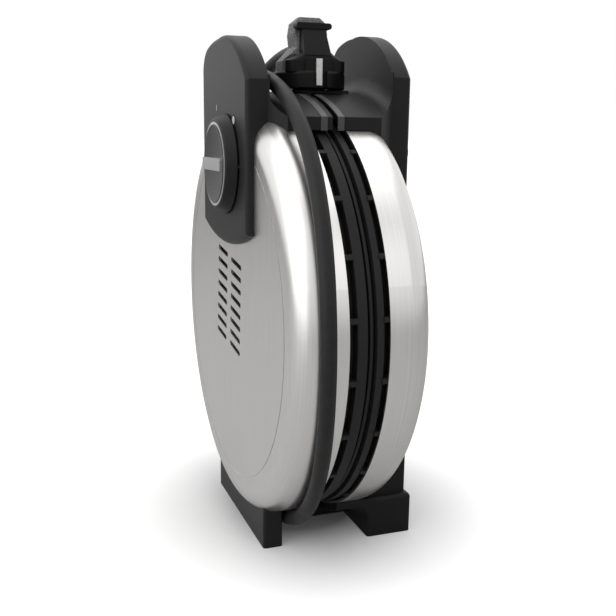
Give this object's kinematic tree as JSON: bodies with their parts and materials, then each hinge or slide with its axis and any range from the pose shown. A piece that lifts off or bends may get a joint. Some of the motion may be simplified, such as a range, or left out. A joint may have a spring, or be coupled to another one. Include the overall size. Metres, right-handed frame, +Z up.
{
  "type": "heart waffle maker",
  "caption": "Round two-sided steel waffle maker stored upright, with heart plates, U-shaped handles, dial knob, vent slots, and its cord wound round the lid with the plug parked in the handle.",
  "frame": {"origin": "centre of the appliance's box, on the floor that its feet stand on, cord and plug left out", "axes": "+Z up through the disc to the handles, +X from the lid towards the base, +Y along the hinge axis, away from the side where the visible cord strand runs"},
  "size_m": [0.095, 0.2266, 0.2615],
  "materials": {
    "steel": "brushed, satin",
    "black_plastic": "fine satin grain",
    "plate_coating": "dark non-stick coating",
    "heater_steel": "dull, heat-tinted",
    "reflector": "rolled sheet",
    "screws": "zinc plated",
    "pad_rubber": "matt",
    "white_ceramic": "matt",
    "lamp_lens": "clear lens",
    "cord_rubber": "satin sheath",
    "plug_rubber": "satin",
    "plug_grip": "ribbed grip",
    "plug_metal": "nickel plated",
    "knob_grey": "satin",
    "knob_light": "satin",
    "knob_silver": "satin silver"
  },
  "bodies": {
    "base": {"base_shell": "steel", "base_plate": "plate_coating", "base_carrier": "black_plastic", "base_heater": "heater_steel", "base_reflector": "reflector", "base_screws": "screws", "base_handle": "black_plastic", "base_foot": "black_plastic", "hinge_pins": "screws", "rest_pads": "pad_rubber", "thermal_fuse": "white_ceramic"},
    "lid": {"lid_shell": "steel", "lid_plate": "plate_coating", "lid_carrier": "black_plastic", "lid_heater": "heater_steel", "lid_reflector": "reflector", "lid_screws": "screws", "lid_handle": "black_plastic", "lid_foot": "black_plastic", "thermostat_body": "white_ceramic", "terminal_block": "white_ceramic", "pilot_lamp": "lamp_lens", "cord_gland": "cord_rubber", "power_cord": "cord_rubber", "plug_body": "plug_rubber", "plug_grips": "plug_grip", "plug_pins": "plug_metal", "plug_earth_strips": "plug_metal"},
    "knob": {"thermostat_shaft": "screws", "knob_cap": "knob_grey", "knob_ring": "knob_light", "knob_bar": "knob_silver"}
  },
  "joints": [
    {"name": "lid_hinge", "type": "hinge", "parent": "base", "child": "lid", "pos_m": [-0.0005, 0, 0.0066], "axis": [0, -1, 0], "range_deg": [0, 105]},
    {"name": "temperature_knob", "type": "hinge", "parent": "lid", "child": "knob", "pos_m": [-0.0425, -0.006, 0.19], "axis": [1, 0, 0], "range_deg": [0, 270]}
  ]
}
